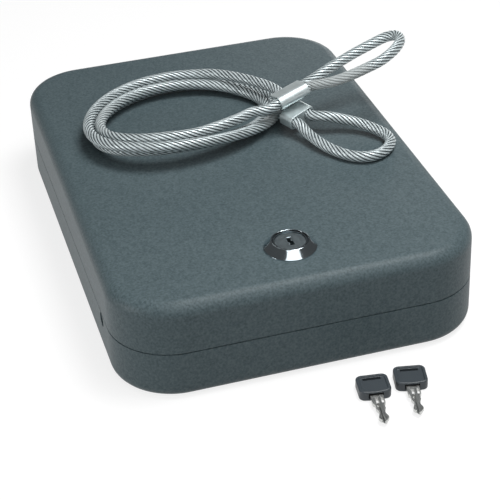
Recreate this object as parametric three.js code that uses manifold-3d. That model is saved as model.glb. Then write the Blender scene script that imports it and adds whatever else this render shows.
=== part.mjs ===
// Portable car safe: a two-shell steel case with a keyed cam lock, a coiled security cable and two keys.
// Millimetres. X runs across the case, Y from the lock end (-Y) to the hinge end (+Y), Z is up.
// The origin is the middle of the case's underside. The case is shut, its lock is in the open position,
// the cable lies on the lid and the keys lie on the floor in front.
import * as THREE from "three";
import { mergeVertices } from "three/addons/utils/BufferGeometryUtils.js";
import Module from "manifold-3d";

const wasm = await Module();
wasm.setup();

// Clearances
const GAP = 0.3; // between neighbouring pieces
const RUNNING = 0.08; // radial, in the lock and the hinge

// Case
const CASE_WIDTH = 178;
const CASE_LENGTH = 254;
const CASE_HEIGHT = 51;
const CASE_CORNER = 31;
const TOP_EDGE = 7;
const BOTTOM_EDGE = 6;
const STEEL = 1.5;
const SEAM = 25; // height of the joint between the shells
const SEAM_GAP = 0.4;
const CORNER_STEPS = 8;
const EDGE_STEPS = 4;

// Cable hole in the left wall
const CABLE_HOLE = { from_front: 45, below_seam: 4.3, radius: 3.4 };

// Lip band and strike
const LIP_STEEL = 1;
const LIP_ABOVE_SEAM = 5;
const LIP_BELOW_SEAM = 12;
const LIP_FROM_BACK = 32; // the band stops short of the hinge
const STRIKE = { width: 30, steel: 1.5, below_seam: 11, reach: 10.7, over_cam: 0.2 };

// Foam liners
const FOAM = 6;
const FOAM_HOLE = 16; // radius of the hole for the lock

// Lock, on a vertical axis on the middle line
const LOCK_FROM_FRONT = 30;
const LOCK_Y = LOCK_FROM_FRONT - CASE_LENGTH / 2;
const RING = { base: 12.6, rim: 8.85, wall: 0.4, height: 4, shoulder: 1.4 };
const BODY = { head: 8.15, radius: 7.7, above_seam: 5 };
const BODY_FACE_DROP = 0.4; // below the ring's rim
const PLUG = { head: 7.3, face_drop: 0.8, head_depth: 1.4, radius: 5.8 };
const KEYWAY = { width: 2.4, length: 6.6, above_cam: 5.5, ward: 0.6, ward_length: 1.6, ward_at: 1.4 };
const WAFER = { thickness: 1, width: 3.8, length: 10, below_face: 4.8, above_cam: 7.7, count: 5 };
const WAFER_WINDOW = { width: 2.6, length: 6.8 };
const WASHER = { radius: 12, thickness: 1 };
const NUT = { across: 22, thickness: 3 };
const CAM = { hub: 7.5, tip: 5.5, reach: 18.5, thickness: 2, square: 7 };
const SCREW = { shank: 1.8, head: 3.4, head_height: 2, length: 8 };
const SCREW_WASHER = { radius: 4.6, thickness: 1 };

// Hinge outside the back wall
const HINGE = { length: 90, knuckles: 5, knuckle: 2.7, pin: 1.5, leaf: 1.2, leaf_height: 13.5, gap: 0.4 };
const HINGE_Y = CASE_LENGTH / 2 + HINGE.knuckle + GAP;
const RIVET = { shank: 1.5, head: 2.8, head_height: 1.1, tail: 2.4, tail_height: 0.8 };
const RIVET_SPREAD = [-0.4, -0.15, 0.15, 0.4]; // as shares of the hinge's length
const RIVET_OFF_SEAM = 9;

// Cable: a coated wire rope with a crimped eye at each end
const ROPE = 5.6;
const ON_LID = CASE_HEIGHT + GAP + ROPE / 2; // centre height of rope that lies on the lid
const STRAND_GAP = 0.65;
const LOOP = { x: -10, y: 36, half_x: 48.5, half_y: 36, egg_x: -6.5, egg_y: -7.5, skew: -2, tilt: 5 };
const LOOP_RISE = 6; // how far the bundle is lifted off the lid at its highest
const LOOP_RISE_AT = -120; // degrees
const LOOP_START = 105;
const LOOP_END = 990;
const LOOP_STEP = 15;
const TWIST = 1 / 3; // the three strands change places once a turn
const ROPE_SIDES = 8;
const SLEEVE_A = {
  from: [27.6, 12.3, 67.6],
  to: [44.1, 16, 71.7],
  width: [-0.13, 0.954, -0.27],
  thickness: 7.4,
  spacing: 6.9,
};
const SLEEVE_B = {
  from: [36, 13.1, 60.2],
  to: [39.8, 5.6, 59.6],
  width: [-0.89, -0.43, -0.14],
  thickness: 7.4,
  spacing: 9.4,
};
const LEAD_A = [
  [13.5, 8, 66.6],
  [5, 4.6, 66.2],
];
const LEAD_B = [
  [8.5, 68.6, 61.2],
  [18, 58.8, 62.4],
  [27.5, 47, 63],
  [34.5, 35, 63],
];
const EYE_A = [
  [57.3, 7.1, 76.9],
  [66, 5.3, 79.7],
  [74.7, 5.1, 82.4],
  [82.6, 5.7, 84.7],
  [89.7, 9, 86.5],
  [95.3, 13.5, 87.8],
  [98.8, 18.9, 88.3],
  [99.3, 26, 87.7],
  [94.9, 29.4, 86],
  [86.3, 29, 83.4],
  [77.4, 27.7, 80.9],
  [68.8, 25.6, 78.5],
  [60.7, 23.3, 76.3],
  [53.8, 20.9, 74.4],
];
const EYE_B = [
  [52.7, 1.3, 60.2],
  [58.5, -0.2, 58.6],
  [63.4, -2, 57.4],
  [67.9, -4.7, 56.4],
  [72, -8.7, 55.5],
  [75.7, -13.5, 54.8],
  [77.8, -18.1, 54.3],
  [77.6, -23.8, 54.1],
  [74.9, -28.6, 54.1],
  [70.7, -32.6, 54.1],
  [65.4, -35, 54.1],
  [60.1, -35, 54.1],
  [55.3, -32.8, 54.1],
  [51.1, -28.8, 54.1],
  [47.4, -23.9, 54.3],
  [44.2, -18.5, 54.8],
  [41.6, -12.7, 55.5],
  [39, -4.4, 56.4],
];
const ROPE_IN_SLEEVE = 6; // how far the coil's ends reach into their sleeves
const TAIL_OUT = 1.5; // rope end that stands out of a sleeve
const STRAIGHT_OUT = 2.5; // how far an eye's legs leave their sleeve before they turn

// Keys, lying flat with the blade towards -Y
const BOW = { width: 14.6, length: 13.2, height: 5, corner: 2.6, edge: 0.5, panel: 0.4, panel_inset: 1.5 };
const BOW_SLOT = { width: 8.6, length: 1.7, from_end: 1.5 };
const BLADE = { thickness: 1.8, tang: 7.5, half_width: 3.1, groove: 1.2, groove_depth: 0.4 };
const BLADE_HOLE = { radius: 0.6, along: 3.4, across: 1.5 };
const BLADE_EDGE = [
  [0, 3.1],
  [5.8, 3.1],
  [6.6, 2.3],
  [8, 2.3],
  [9, 2.8],
  [10.4, 2.6],
  [11.6, 1.5],
  [13, 1.5],
  [14.8, 2.3],
  [16.4, 2.4],
  [18.4, 1.3],
  [19.6, 0.5],
];
const KEYS = [
  { name: "key_1", x: 21.4, before_front: 23.6, turn: -8.2 },
  { name: "key_2", x: 39.7, before_front: 22.9, turn: -12.1 },
];

// Materials
const FINISH = {
  case_paint: { color: 0x5d676b, roughness: 0.55, metalness: 0.2 },
  band_steel: { color: 0x6b7478, roughness: 0.5, metalness: 0.6 },
  foam: { color: 0x2b2d2f, roughness: 0.95, metalness: 0 },
  polished_steel: { color: 0xc9ccce, roughness: 0.18, metalness: 1 },
  lock_brass: { color: 0xb9a56a, roughness: 0.4, metalness: 0.9 },
  zinc_steel: { color: 0x9ca0a3, roughness: 0.4, metalness: 0.9 },
  sleeve_metal: { color: 0xb4b8ba, roughness: 0.3, metalness: 0.9 },
  rope: { color: 0x8f9999, roughness: 0.35, metalness: 0.5 },
  bow_plastic: { color: 0x18191b, roughness: 0.5, metalness: 0 },
  key_steel: { color: 0xb9bdbf, roughness: 0.28, metalness: 1 },
};

const safe = new THREE.Group();
safe.name = "portable_car_safe";

function add(name, geometry, finish) {
  geometry.computeVertexNormals();
  const mesh = new THREE.Mesh(geometry, new THREE.MeshStandardMaterial(FINISH[finish]));
  mesh.name = name;
  safe.add(mesh);
  return mesh;
}

// Solids

function radians(degrees) {
  return (degrees * Math.PI) / 180;
}

function signedVolume(positions, triangles) {
  const a = new THREE.Vector3();
  const b = new THREE.Vector3();
  const c = new THREE.Vector3();
  let six = 0;
  for (let i = 0; i < triangles.length; i += 3) {
    a.fromArray(positions, 3 * triangles[i]);
    b.fromArray(positions, 3 * triangles[i + 1]);
    c.fromArray(positions, 3 * triangles[i + 2]);
    six += a.dot(b.cross(c));
  }
  return six / 6;
}

// Turns a closed geometry into a solid, with its faces pointing outwards.
function toSolid(geometry) {
  const plain = geometry.clone();
  plain.deleteAttribute("normal");
  plain.deleteAttribute("uv");
  const merged = mergeVertices(plain, 1e-4);
  const positions = new Float32Array(merged.attributes.position.array);
  const triangles = [];
  for (let i = 0; i < merged.index.count; i += 3) {
    const [a, b, c] = [0, 1, 2].map((k) => merged.index.getX(i + k));
    if (a !== b && b !== c && c !== a) triangles.push(a, b, c);
  }
  if (signedVolume(positions, triangles) < 0) triangles.reverse();
  const mesh = new wasm.Mesh({
    numProp: 3,
    vertProperties: positions,
    triVerts: new Uint32Array(triangles),
  });
  return new wasm.Manifold(mesh);
}

function toGeometry(solid) {
  const mesh = solid.getMesh();
  const geometry = new THREE.BufferGeometry();
  geometry.setAttribute("position", new THREE.BufferAttribute(new Float32Array(mesh.vertProperties), 3));
  geometry.setIndex(new THREE.BufferAttribute(new Uint32Array(mesh.triVerts), 1));
  return geometry;
}

function box(x0, x1, y0, y1, z0, z1) {
  const geometry = new THREE.BoxGeometry(x1 - x0, y1 - y0, z1 - z0);
  return toSolid(geometry.translate((x0 + x1) / 2, (y0 + y1) / 2, (z0 + z1) / 2));
}

// Turned about a vertical axis, from [radius, height] points; a tube's profile closes on itself.
function turned(profile, segments = 40) {
  const points = profile.map(([radius, height]) => new THREE.Vector2(radius, height));
  if (profile[0][0] > 0) points.push(points[0].clone());
  return new THREE.LatheGeometry(points, segments).rotateX(Math.PI / 2);
}

function rod(radius, from, to, segments = 40) {
  return turned([[0, from], [radius, from], [radius, to], [0, to]], segments);
}

function plate(shape, bottom, top, curveSegments = 12) {
  const options = { depth: top - bottom, bevelEnabled: false, curveSegments };
  return new THREE.ExtrudeGeometry(shape, options).translate(0, 0, bottom);
}

function rectangle(width, length, y = 0) {
  const shape = new THREE.Shape();
  shape.moveTo(-width / 2, y - length / 2);
  shape.lineTo(width / 2, y - length / 2);
  shape.lineTo(width / 2, y + length / 2);
  shape.lineTo(-width / 2, y + length / 2);
  return shape;
}

// Case shells

// The case's plan, drawn in by an inset, anticlockwise from above.
function plan(inset) {
  const radius = CASE_CORNER - inset;
  const x = CASE_WIDTH / 2 - CASE_CORNER;
  const y = CASE_LENGTH / 2 - CASE_CORNER;
  const points = [];
  [[x, y], [-x, y], [-x, -y], [x, -y]].forEach(([cx, cy], quarter) => {
    for (let i = 0; i <= CORNER_STEPS; i += 1) {
      const angle = radians(90 * (quarter + i / CORNER_STEPS));
      points.push([cx + radius * Math.cos(angle), cy + radius * Math.sin(angle)]);
    }
  });
  return points;
}

// A solid whose skin passes through the plan at each [inset, height] of the profile.
function stack(profile) {
  const positions = [];
  const triangles = [];
  const count = plan(0).length;
  for (const [inset, height] of profile) {
    for (const [x, y] of plan(inset)) positions.push(x, y, height);
  }
  const first = positions.length / 3;
  positions.push(0, 0, profile[0][1], 0, 0, profile.at(-1)[1]);
  const last = (profile.length - 1) * count;
  for (let j = 0; j < count; j += 1) {
    const k = (j + 1) % count;
    triangles.push(first, k, j, first + 1, last + j, last + k);
    for (let i = 0; i < profile.length - 1; i += 1) {
      const [low, high] = [i * count, (i + 1) * count];
      triangles.push(low + j, low + k, high + k, low + j, high + k, high + j);
    }
  }
  const geometry = new THREE.BufferGeometry();
  geometry.setAttribute("position", new THREE.Float32BufferAttribute(positions, 3));
  geometry.setIndex(triangles);
  return toSolid(geometry);
}

// A rolled edge as [inset, height] points, from the flat face to the wall; side is -1 below, 1 above.
function edge(radius, around, flat, side) {
  const points = [];
  for (let i = 0; i <= EDGE_STEPS; i += 1) {
    const angle = radians((90 * i) / EDGE_STEPS);
    const height = flat - side * around + side * radius * Math.cos(angle);
    points.push([around - radius * Math.sin(angle), height]);
  }
  return points;
}

function wallHole(y, x, z, radius, depth) {
  const hole = rod(radius, -depth, depth, 12);
  return hole.rotateX(Math.PI / 2).translate(x, y, z);
}

function rivetPlaces() {
  return RIVET_SPREAD.map((share) => share * HINGE.length);
}

function rivetHoles(z) {
  const radius = RIVET.shank + GAP;
  return rivetPlaces().map((x) => toSolid(wallHole(CASE_LENGTH / 2, x, z, radius, 6)));
}

function cableHole() {
  const hole = rod(CABLE_HOLE.radius, -8, 8, 24).rotateY(Math.PI / 2);
  const y = CABLE_HOLE.from_front - CASE_LENGTH / 2;
  return toSolid(hole.translate(-CASE_WIDTH / 2, y, SEAM - CABLE_HOLE.below_seam));
}

function cut(solid, holes) {
  return holes.reduce((left, hole) => left.subtract(hole), solid);
}

function baseShell() {
  const rim = SEAM - SEAM_GAP / 2;
  const outside = edge(BOTTOM_EDGE, BOTTOM_EDGE, 0, -1);
  const inside = edge(BOTTOM_EDGE - STEEL, BOTTOM_EDGE, 0, -1).reverse();
  const tray = stack([...outside, [0, rim], [STEEL, rim], ...inside]);
  return cut(tray, [cableHole(), ...rivetHoles(SEAM - RIVET_OFF_SEAM)]);
}

function lidShell() {
  const rim = SEAM + SEAM_GAP / 2;
  const outside = edge(TOP_EDGE, TOP_EDGE, CASE_HEIGHT, 1).reverse();
  const inside = edge(TOP_EDGE - STEEL, TOP_EDGE, CASE_HEIGHT, 1);
  const cover = stack([...inside, [STEEL, rim], [0, rim], ...outside]);
  const lockHole = toSolid(rod(BODY.radius + GAP, CASE_HEIGHT - 10, CASE_HEIGHT + 10).translate(0, LOCK_Y, 0));
  return cut(cover, [lockHole, ...rivetHoles(SEAM + RIVET_OFF_SEAM)]);
}

function lipBand() {
  const [low, high] = [SEAM - LIP_BELOW_SEAM, SEAM + LIP_ABOVE_SEAM];
  const outside = STEEL + GAP;
  const outer = stack([[outside, low], [outside, high]]);
  const inner = stack([[outside + LIP_STEEL, low - 1], [outside + LIP_STEEL, high + 1]]);
  const back = box(-CASE_WIDTH, CASE_WIDTH, CASE_LENGTH / 2 - LIP_FROM_BACK, CASE_LENGTH, 0, CASE_HEIGHT);
  return cut(outer, [inner, back, cableHole()]);
}

function strikeBracket() {
  const face = -CASE_LENGTH / 2 + STEEL + GAP + LIP_STEEL;
  const half = STRIKE.width / 2;
  const under = CAM_TOP + STRIKE.over_cam;
  const over = under + STRIKE.steel;
  const leg = box(-half, half, face, face + STRIKE.steel, SEAM - STRIKE.below_seam, over);
  const flange = box(-half, half, face, face + STRIKE.steel + STRIKE.reach, under, over);
  return leg.add(flange);
}

function baseFoam() {
  const corner = edge(BOTTOM_EDGE - STEEL - 2 * GAP, BOTTOM_EDGE, 0, -1).slice(1);
  return stack([[BOTTOM_EDGE + GAP, STEEL], ...corner, [STEEL + 2 * GAP, STEEL + FOAM]]);
}

function lidFoam() {
  const ceiling = CASE_HEIGHT - STEEL;
  const corner = edge(TOP_EDGE - STEEL - 2 * GAP, TOP_EDGE, CASE_HEIGHT, 1).slice(1).reverse();
  const sheet = stack([[STEEL + 2 * GAP, ceiling - FOAM], ...corner, [TOP_EDGE + GAP, ceiling]]);
  const hole = toSolid(rod(FOAM_HOLE, ceiling - FOAM - 1, ceiling + 1).translate(0, LOCK_Y, 0));
  return sheet.subtract(hole);
}

// Lock

const RIM_HEIGHT = CASE_HEIGHT + RING.height;
const BODY_FACE = RIM_HEIGHT - BODY_FACE_DROP;
const PLUG_FACE = RIM_HEIGHT - PLUG.face_drop;
const PLUG_SEAT = PLUG_FACE - PLUG.head_depth;
const RING_SEAT = CASE_HEIGHT + RING.shoulder;
const BODY_BOTTOM = SEAM + BODY.above_seam;
const CAM_TOP = BODY_BOTTOM - GAP;
const CAM_BOTTOM = CAM_TOP - CAM.thickness;

function onLock(geometry) {
  return geometry.translate(0, LOCK_Y, 0);
}

function lockRing() {
  const bore = BODY.radius + GAP;
  return turned([
    [bore, CASE_HEIGHT],
    [RING.base, CASE_HEIGHT],
    [RING.base, CASE_HEIGHT + 0.5],
    [RING.rim, RIM_HEIGHT - 0.1],
    [RING.rim - 0.1, RIM_HEIGHT],
    [RING.rim - RING.wall, RIM_HEIGHT],
    [RING.rim - RING.wall, RING_SEAT],
    [bore, RING_SEAT],
  ], 48);
}

function lockBody() {
  return turned([
    [PLUG.radius + RUNNING, BODY_BOTTOM],
    [BODY.radius, BODY_BOTTOM],
    [BODY.radius, RING_SEAT],
    [BODY.head, RING_SEAT],
    [BODY.head, BODY_FACE],
    [PLUG.head + GAP, BODY_FACE],
    [PLUG.head + GAP, PLUG_SEAT],
    [PLUG.radius + RUNNING, PLUG_SEAT],
  ], 32);
}

// The keyway's outline, with a ward on each side.
function keywayShape() {
  const { width, length, ward, ward_length, ward_at } = KEYWAY;
  const shape = new THREE.Shape();
  const half = width / 2;
  const [near, far] = [ward_at - ward_length / 2, ward_at + ward_length / 2];
  shape.moveTo(-half, -length / 2);
  shape.lineTo(half, -length / 2);
  shape.lineTo(half, near);
  shape.lineTo(half - ward, near);
  shape.lineTo(half - ward, far);
  shape.lineTo(half, far);
  shape.lineTo(half, length / 2);
  shape.lineTo(-half, length / 2);
  shape.lineTo(-half, -near);
  shape.lineTo(-half + ward, -near);
  shape.lineTo(-half + ward, -far);
  shape.lineTo(-half, -far);
  return shape;
}

function waferHeights() {
  const first = PLUG_FACE - WAFER.below_face;
  const pitch = (first - CAM_TOP - WAFER.above_cam) / (WAFER.count - 1);
  return Array.from({ length: WAFER.count }, (_, i) => first - i * pitch);
}

function lockPlug() {
  const barrel = toSolid(turned([
    [0, CAM_TOP],
    [PLUG.radius, CAM_TOP],
    [PLUG.radius, PLUG_SEAT],
    [PLUG.head, PLUG_SEAT],
    [PLUG.head, PLUG_FACE],
    [0, PLUG_FACE],
  ], 32));
  const tail = toSolid(plate(rectangle(CAM.square, CAM.square), CAM_BOTTOM + 0.1, CAM_TOP + 1));
  const screwHole = toSolid(rod(SCREW.shank + GAP, CAM_BOTTOM - 1, CAM_BOTTOM + SCREW.length, 24));
  const keyway = toSolid(plate(keywayShape(), CAM_TOP + KEYWAY.above_cam, PLUG_FACE + 1));
  const reach = PLUG.radius + 1;
  const slots = waferHeights().map((height) => {
    const half = WAFER.thickness / 2 + GAP;
    return box(-WAFER.width / 2 - GAP, WAFER.width / 2 + GAP, -reach, reach, height - half, height + half);
  });
  return toGeometry(cut(barrel.add(tail), [screwHole, keyway, ...slots]));
}

function wafer(height) {
  const shape = rectangle(WAFER.width, WAFER.length);
  shape.holes.push(rectangle(WAFER_WINDOW.width, WAFER_WINDOW.length));
  return plate(shape, height - WAFER.thickness / 2, height + WAFER.thickness / 2);
}

function lockWasher() {
  const top = CASE_HEIGHT - STEEL;
  const bore = BODY.radius + GAP;
  return turned([
    [bore, top - WASHER.thickness],
    [WASHER.radius, top - WASHER.thickness],
    [WASHER.radius, top],
    [bore, top],
  ], 32);
}

function lockNut() {
  const top = CASE_HEIGHT - STEEL - WASHER.thickness;
  const corner = NUT.across / 2 / Math.cos(radians(30));
  const corners = [0, 60, 120, 180, 240, 300].map((degrees) => {
    const angle = radians(degrees);
    return new THREE.Vector2(corner * Math.cos(angle), corner * Math.sin(angle));
  });
  const shape = new THREE.Shape(corners);
  shape.holes.push(new THREE.Path().absarc(0, 0, BODY.radius + GAP, 0, 2 * Math.PI));
  return plate(shape, top - NUT.thickness, top, 16);
}

function lockCam() {
  const shape = new THREE.Shape();
  shape.absarc(0, 0, CAM.hub, Math.PI / 2, (3 * Math.PI) / 2);
  shape.absarc(CAM.reach, 0, CAM.tip, -Math.PI / 2, Math.PI / 2);
  shape.holes.push(rectangle(CAM.square + 2 * GAP, CAM.square + 2 * GAP));
  return plate(shape, CAM_BOTTOM, CAM_TOP);
}

function camWasher() {
  const bore = SCREW.shank + GAP;
  return turned([
    [bore, CAM_BOTTOM - SCREW_WASHER.thickness],
    [SCREW_WASHER.radius, CAM_BOTTOM - SCREW_WASHER.thickness],
    [SCREW_WASHER.radius, CAM_BOTTOM],
    [bore, CAM_BOTTOM],
  ], 24);
}

function camScrew() {
  const seat = CAM_BOTTOM - SCREW_WASHER.thickness;
  return turned([
    [0, seat - SCREW.head_height],
    [SCREW.head - 0.6, seat - SCREW.head_height],
    [SCREW.head, seat - SCREW.head_height + 0.6],
    [SCREW.head, seat],
    [SCREW.shank, seat],
    [SCREW.shank, seat + SCREW.length - 0.5],
    [0, seat + SCREW.length - 0.5],
  ], 24);
}

// Hinge

function acrossX(radius, x0, x1, segments = 20) {
  return rod(radius, x0, x1, segments).rotateY(Math.PI / 2).translate(0, HINGE_Y, SEAM);
}

// One leaf: side is -1 for the base's, 1 for the lid's. It has every other knuckle.
function hingeLeaf(side) {
  const pitch = HINGE.length / HINGE.knuckles;
  const face = CASE_LENGTH / 2;
  const near = SEAM + side * HINGE.gap;
  const far = SEAM + side * (HINGE.leaf_height + HINGE.gap);
  const [low, high] = [Math.min(near, far), Math.max(near, far)];
  let leaf = box(-HINGE.length / 2, HINGE.length / 2, face, face + HINGE.leaf, low, high);
  for (let i = 0; i < HINGE.knuckles; i += 1) {
    const x0 = -HINGE.length / 2 + i * pitch;
    const own = i % 2 === (side < 0 ? 0 : 1);
    const trim = own ? HINGE.gap / 2 : -HINGE.gap / 2;
    if (own) {
      const start = i === 0 ? x0 : x0 + trim;
      const end = i === HINGE.knuckles - 1 ? x0 + pitch : x0 + pitch - trim;
      leaf = leaf.add(toSolid(acrossX(HINGE.knuckle, start, end)));
    } else {
      const clear = SEAM + side * (HINGE.knuckle + HINGE.gap);
      const notch = [Math.min(clear, SEAM - side), Math.max(clear, SEAM - side)];
      leaf = leaf.subtract(box(x0 + trim, x0 + pitch - trim, face - 1, face + HINGE.leaf + 1, ...notch));
    }
  }
  const bore = toSolid(acrossX(HINGE.pin + RUNNING, -HINGE.length, HINGE.length));
  return toGeometry(cut(leaf, [bore, ...rivetHoles(SEAM + side * RIVET_OFF_SEAM)]));
}

function rivet(x, z) {
  const outside = CASE_LENGTH / 2 + HINGE.leaf;
  const inside = CASE_LENGTH / 2 - STEEL;
  const geometry = turned([
    [0, inside - RIVET.tail_height],
    [RIVET.tail, inside - RIVET.tail_height],
    [RIVET.tail, inside],
    [RIVET.shank, inside],
    [RIVET.shank, outside],
    [RIVET.head, outside],
    [RIVET.head * 0.8, outside + RIVET.head_height * 0.7],
    [0, outside + RIVET.head_height],
  ], 12);
  return geometry.rotateX(-Math.PI / 2).translate(x, 0, z);
}

// Cable

function vector(point) {
  return new THREE.Vector3(...point);
}

// A sleeve's ends, direction, width direction and two bore axes.
function sleeveFrame({ from, to, width, spacing }) {
  const [start, end] = [vector(from), vector(to)];
  const along = end.clone().sub(start).normalize();
  const across = vector(width);
  across.addScaledVector(along, -across.dot(along)).normalize();
  const half = spacing / 2;
  const length = start.distanceTo(end);
  // A point on a bore's axis: side -1 carries the coil's end, 1 the rope's cut end.
  const at = (side, distance) => start.clone().addScaledVector(across, side * half)
    .addScaledVector(along, distance);
  return { start, along, across, length, at };
}

function sleeveBody(sleeve) {
  const frame = sleeveFrame(sleeve);
  const half = sleeve.spacing / 2;
  const radius = sleeve.thickness / 2;
  const shape = new THREE.Shape();
  shape.absarc(-half, 0, radius, Math.PI / 2, (3 * Math.PI) / 2);
  shape.absarc(half, 0, radius, -Math.PI / 2, Math.PI / 2);
  for (const side of [-1, 1]) {
    shape.holes.push(new THREE.Path().absarc(side * half, 0, ROPE / 2 + GAP, 0, 2 * Math.PI));
  }
  const geometry = plate(shape, 0, frame.length, 14);
  const third = frame.along.clone().cross(frame.across);
  const matrix = new THREE.Matrix4().makeBasis(frame.across, third, frame.along);
  return geometry.applyMatrix4(matrix.setPosition(frame.start));
}

// The coil's three strands lie in a bundle that turns as it goes round an egg-shaped loop.
function loopCentre(angle) {
  const x = LOOP.x + LOOP.half_x * Math.cos(angle) + LOOP.egg_x * Math.cos(2 * angle)
    + LOOP.skew * Math.sin(2 * angle);
  const y = LOOP.y + LOOP.half_y * Math.sin(angle) + LOOP.egg_y * Math.sin(2 * angle)
    + LOOP.tilt * Math.cos(angle);
  return new THREE.Vector3(x, y, 0);
}

function loopPoint(degrees) {
  const angle = -radians(degrees);
  const centre = loopCentre(angle);
  const along = loopCentre(angle + 0.001).sub(centre).normalize();
  const outward = new THREE.Vector3(along.y, -along.x, 0);
  const bundle = (ROPE + STRAND_GAP) / Math.sqrt(3);
  const turn = radians(90 + degrees * TWIST);
  const places = [0, 120, 240].map((third) => radians(90 + (degrees % 360) * TWIST + third));
  const lowest = Math.min(...places.map(Math.sin));
  const lift = LOOP_RISE * Math.max(0, Math.cos(angle - radians(LOOP_RISE_AT))) ** 3;
  const height = ON_LID - lowest * bundle + lift;
  return centre.addScaledVector(outward, bundle * Math.cos(turn)).setZ(height + bundle * Math.sin(turn));
}

function coilRoute() {
  const [a, b] = [sleeveFrame(SLEEVE_A), sleeveFrame(SLEEVE_B)];
  const route = [a.at(-1, ROPE_IN_SLEEVE), a.at(-1, -GAP), a.at(-1, -6.5), ...LEAD_A.map(vector)];
  for (let degrees = LOOP_START; degrees <= LOOP_END; degrees += LOOP_STEP) {
    route.push(loopPoint(degrees));
  }
  route.push(...LEAD_B.map(vector), b.at(-1, -6.5), b.at(-1, -GAP), b.at(-1, ROPE_IN_SLEEVE - 2));
  return route;
}

// An eye starts inside the coil's bore, face to face with the coil's end, and comes back through the other.
function eyeRoute(sleeve, points, start) {
  const frame = sleeveFrame(sleeve);
  const out = frame.length;
  return [
    frame.at(-1, start + GAP),
    frame.at(-1, out + GAP),
    frame.at(-1, out + STRAIGHT_OUT),
    ...points.map(vector),
    frame.at(1, out + STRAIGHT_OUT),
    frame.at(1, out + GAP),
    frame.at(1, -TAIL_OUT),
  ];
}

// A smooth curve through the route's points, as a list of points.
function smooth(route, steps) {
  const curve = new THREE.CatmullRomCurve3(route, false, "centripetal");
  return curve.getPoints((route.length - 1) * steps);
}

// A round tube with flat ends, square to the path at each point.
function ropeTube(points, radius) {
  const positions = [];
  const triangles = [];
  const normal = new THREE.Vector3(0, 0, 1);
  points.forEach((point, i) => {
    const before = points[Math.max(i - 1, 0)];
    const after = points[Math.min(i + 1, points.length - 1)];
    const along = after.clone().sub(before).normalize();
    normal.addScaledVector(along, -normal.dot(along)).normalize();
    const side = along.clone().cross(normal);
    for (let k = 0; k < ROPE_SIDES; k += 1) {
      const angle = (2 * Math.PI * k) / ROPE_SIDES;
      const spoke = normal.clone().multiplyScalar(radius * Math.cos(angle));
      spoke.addScaledVector(side, radius * Math.sin(angle)).add(point);
      positions.push(...spoke.toArray());
    }
  });
  const first = positions.length / 3;
  positions.push(...points[0].toArray(), ...points.at(-1).toArray());
  for (let k = 0; k < ROPE_SIDES; k += 1) {
    const next = (k + 1) % ROPE_SIDES;
    const last = (points.length - 1) * ROPE_SIDES;
    triangles.push(first, next, k, first + 1, last + k, last + next);
    for (let i = 0; i < points.length - 1; i += 1) {
      const [low, high] = [i * ROPE_SIDES, (i + 1) * ROPE_SIDES];
      triangles.push(low + k, low + next, high + next, low + k, high + next, high + k);
    }
  }
  const geometry = new THREE.BufferGeometry();
  geometry.setAttribute("position", new THREE.Float32BufferAttribute(positions, 3));
  geometry.setIndex(triangles);
  return geometry;
}

function pathLengths(points) {
  const lengths = [0];
  for (let i = 1; i < points.length; i += 1) {
    lengths.push(lengths[i - 1] + points[i].distanceTo(points[i - 1]));
  }
  return lengths;
}

// The least space between two stretches of rope that are far enough apart along it.
function leastGap(points) {
  const lengths = pathLengths(points);
  let least = Infinity;
  for (let i = 0; i < points.length; i += 1) {
    for (let j = i + 1; j < points.length; j += 1) {
      if (lengths[j] - lengths[i] < 2.5 * ROPE) continue;
      least = Math.min(least, points[i].distanceTo(points[j]));
    }
  }
  return least - ROPE;
}

// The least space between a rope and a sleeve, for the rope points outside its bores.
function gapToSleeve(points, sleeve) {
  const frame = sleeveFrame(sleeve);
  let least = Infinity;
  for (const point of points) {
    const offset = point.clone().sub(frame.start);
    const along = offset.dot(frame.along);
    const across = offset.dot(frame.across);
    const third = frame.along.clone().cross(frame.across).dot(offset);
    const half = sleeve.spacing / 2;
    const inBore = Math.hypot(Math.abs(across) - half, third) < 0.5;
    if (inBore && along > -8 && along < frame.length + 8) continue;
    const side = Math.max(Math.abs(across) - half, 0);
    const end = Math.max(-along, along - frame.length, 0);
    const beyond = Math.max(Math.hypot(side, third) - sleeve.thickness / 2, 0);
    least = Math.min(least, Math.hypot(beyond, end) - ROPE / 2);
  }
  return least;
}

// Keys

function roundedShape(width, length, corner) {
  const [x, y] = [width / 2 - corner, length / 2 - corner];
  const shape = new THREE.Shape();
  shape.absarc(x, y, corner, 0, Math.PI / 2);
  shape.absarc(-x, y, corner, Math.PI / 2, Math.PI);
  shape.absarc(-x, -y, corner, Math.PI, 1.5 * Math.PI);
  shape.absarc(x, -y, corner, 1.5 * Math.PI, 2 * Math.PI);
  return shape;
}

function keyBow() {
  const { width, length, height, corner, edge: bevel, panel, panel_inset } = BOW;
  const options = {
    depth: height - 2 * bevel,
    bevelThickness: bevel,
    bevelSize: bevel,
    bevelOffset: -bevel,
    bevelSegments: 1,
    curveSegments: 4,
  };
  const body = new THREE.ExtrudeGeometry(roundedShape(width, length, corner), options);
  const slot_y = length / 2 - BOW_SLOT.from_end - BOW_SLOT.length / 2;
  const slot = plate(rectangle(BOW_SLOT.width, BOW_SLOT.length, slot_y), -1, height + 1);
  const panel_top = slot_y - BOW_SLOT.length / 2 - 1;
  const panel_bottom = -length / 2 + panel_inset;
  const face = rectangle(width - 2 * panel_inset, panel_top - panel_bottom, (panel_top + panel_bottom) / 2);
  const pocket_half = BLADE.half_width + GAP;
  const pocket_z = BLADE.thickness / 2 + GAP;
  const end = -length / 2;
  const pocket = box(-pocket_half, pocket_half, end - 1, end + BLADE.tang + GAP, height / 2 - pocket_z,
    height / 2 + pocket_z);
  const cuts = [
    toSolid(slot),
    toSolid(plate(face, height - panel, height + 1)),
    toSolid(plate(face, -1, panel)),
    pocket,
  ];
  return toGeometry(cut(toSolid(body.translate(0, 0, bevel)), cuts));
}

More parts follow.
